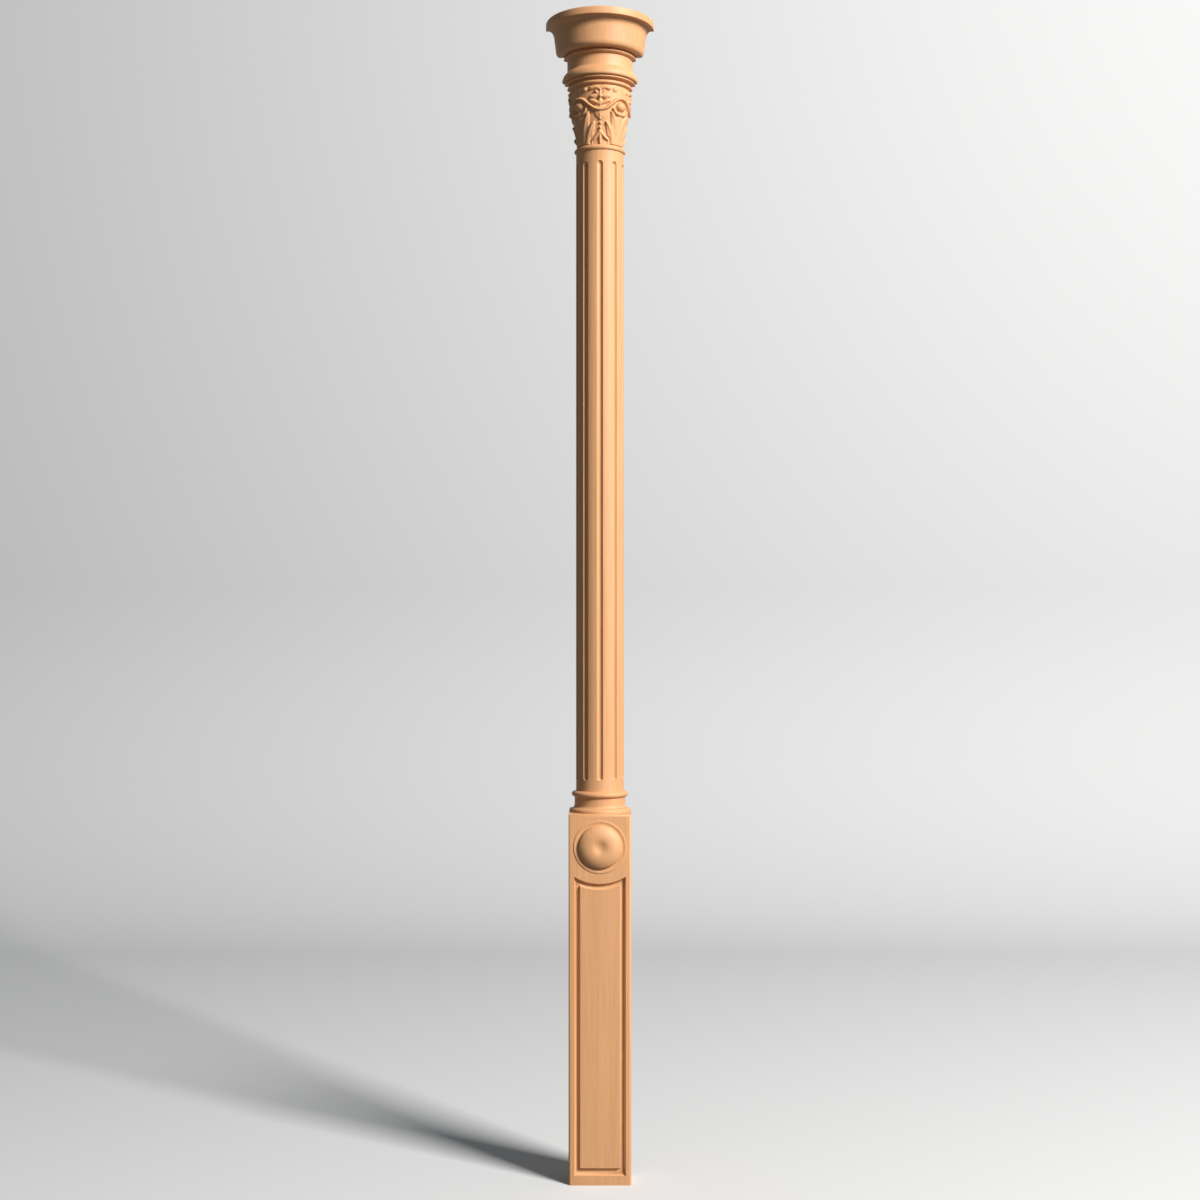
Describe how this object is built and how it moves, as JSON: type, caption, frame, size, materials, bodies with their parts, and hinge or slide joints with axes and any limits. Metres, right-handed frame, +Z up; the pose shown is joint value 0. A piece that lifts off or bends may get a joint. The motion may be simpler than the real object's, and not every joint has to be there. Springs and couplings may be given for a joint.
{
  "type": "pilaster onlay",
  "caption": "Carved wooden half-round pilaster with a fluted shaft, leaf and volute capital and panelled pedestal, flat at the back, applied to a wall, door surround or cabinet front.",
  "frame": {"origin": "centre of the pedestal's flat underside", "axes": "+Z up along the shaft, -Y the carved front, +Y out of the flat back, +X across"},
  "size_m": [0.2064, 0.0974, 2.2],
  "materials": {
    "carved_wood": "fine-sanded bare hardwood, satin-matt"
  },
  "bodies": {
    "root": {"pilaster": "carved_wood"}
  },
  "joints": []
}
